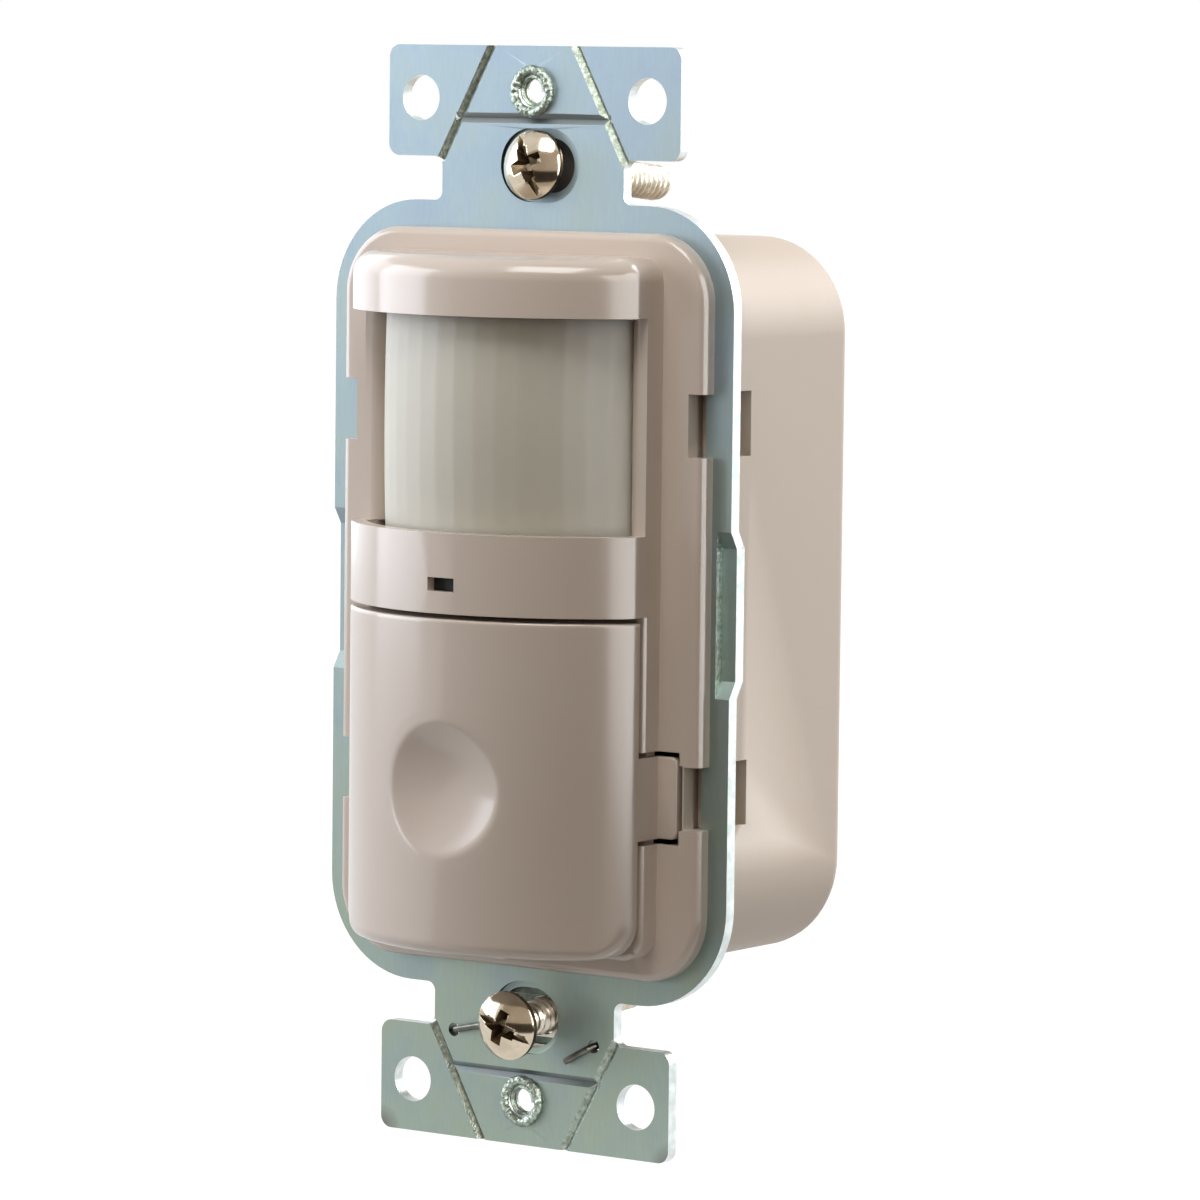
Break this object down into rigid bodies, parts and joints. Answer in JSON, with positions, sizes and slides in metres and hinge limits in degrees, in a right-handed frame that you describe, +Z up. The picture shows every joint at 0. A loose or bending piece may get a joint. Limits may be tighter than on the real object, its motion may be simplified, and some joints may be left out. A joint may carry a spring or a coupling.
{
  "type": "occupancy sensor switch",
  "caption": "Wall-box light switch with a bowed infrared lens above a wide push button, on a steel strap with break-off ears and a deep rear housing.",
  "frame": {"origin": "centre of the four ear holes, on the strap's back face", "axes": "+X to the right and +Z up as seen from the room, +Y into the wall; the front faces -Y"},
  "size_m": [0.0468, 0.0382, 0.1054],
  "materials": {
    "almond_gloss": "glossy moulding",
    "almond_satin": "semi-gloss moulding",
    "black_fibre": "dull",
    "black_resin": "moulded, dull",
    "blue_coating": "dipped coating",
    "blue_resin": "moulded",
    "board_laminate": "green solder mask",
    "brass_contact": "stamped strip",
    "brass_pins": "drawn wire",
    "can_steel": "drawn can",
    "capacitor_sleeve": "shrink sleeve",
    "cell_ceramic": "coated disc",
    "dial_nylon": "moulded",
    "ferrite": "sintered core",
    "infrared_filter": "dark filter",
    "led_epoxy": "cast, clear",
    "lens_polyethylene": "milky, ribbed inside",
    "nickel_steel": "bright nickel plate",
    "plunger_nylon": "dull",
    "resistor_coating": "flameproof coating",
    "smoked_acrylic": "smoked, polished",
    "spring_steel": "bent strip",
    "terminal_nylon": "moulded",
    "tinned_spring": "bright tin plate",
    "yellow_film": "potted box",
    "zinc_steel": "zinc plated and passivated, satin"
  },
  "bodies": {
    "switch_body": {"strap": "zinc_steel", "front_cover": "almond_gloss", "lens": "lens_polyethylene", "rear_housing": "almond_satin", "ground_clip": "tinned_spring", "clip_staple": "tinned_spring", "control_board": "board_laminate", "power_board": "board_laminate", "header_strip": "black_resin", "header_pins": "brass_pins", "pir_can": "can_steel", "pir_filter": "infrared_filter", "light_cell": "cell_ceramic", "indicator_led": "led_epoxy", "light_guide": "smoked_acrylic", "tact_switch": "black_resin", "trimmer_bodies": "blue_resin", "controller_chips": "black_resin", "relay": "black_resin", "terminal_block": "terminal_nylon", "terminal_contacts": "brass_contact", "terminal_springs": "spring_steel", "film_capacitor": "yellow_film", "bulk_capacitors": "capacitor_sleeve", "varistor": "blue_coating", "fuse_resistor": "resistor_coating", "choke": "ferrite", "rectifier": "black_resin"},
    "button": {"push_button": "almond_gloss"},
    "plunger": {"tact_plunger": "plunger_nylon"},
    "top_screw": {"mount_screw_top": "nickel_steel", "screw_retainer": "black_fibre"},
    "bottom_screw": {"mount_screw_bottom": "nickel_steel"},
    "time_setting": {"time_dial": "dial_nylon"},
    "light_setting": {"light_dial": "dial_nylon"}
  },
  "joints": [
    {"name": "button_press", "type": "slide", "parent": "switch_body", "child": "button", "axis": [0, 1, 0], "range_m": [0, 0.0005], "stiffness_N_per_m": 3000},
    {"name": "plunger_press", "type": "slide", "parent": "switch_body", "child": "plunger", "axis": [0, 1, 0], "range_m": [0, 0.00025]},
    {"name": "top_screw_turn", "type": "hinge", "parent": "switch_body", "child": "top_screw", "pos_m": [0.0003, -0.00117, 0.0414], "axis": [0, 0.9956, -0.0941], "continuous": true},
    {"name": "bottom_screw_turn", "type": "hinge", "parent": "switch_body", "child": "bottom_screw", "pos_m": [0.0013, -0.00527, -0.04041], "axis": [0, 0.9986, 0.0523], "continuous": true},
    {"name": "time_dial_turn", "type": "hinge", "parent": "switch_body", "child": "time_setting", "pos_m": [-0.009, -0.0014, -0.0075], "axis": [0, 1, 0], "range_deg": [-135, 135]},
    {"name": "light_dial_turn", "type": "hinge", "parent": "switch_body", "child": "light_setting", "pos_m": [0.009, -0.0014, -0.0075], "axis": [0, 1, 0], "range_deg": [-135, 135]}
  ],
  "couplings": [
    {"joint": "plunger_press", "follows": "button_press", "ratio": 0.5}
  ]
}
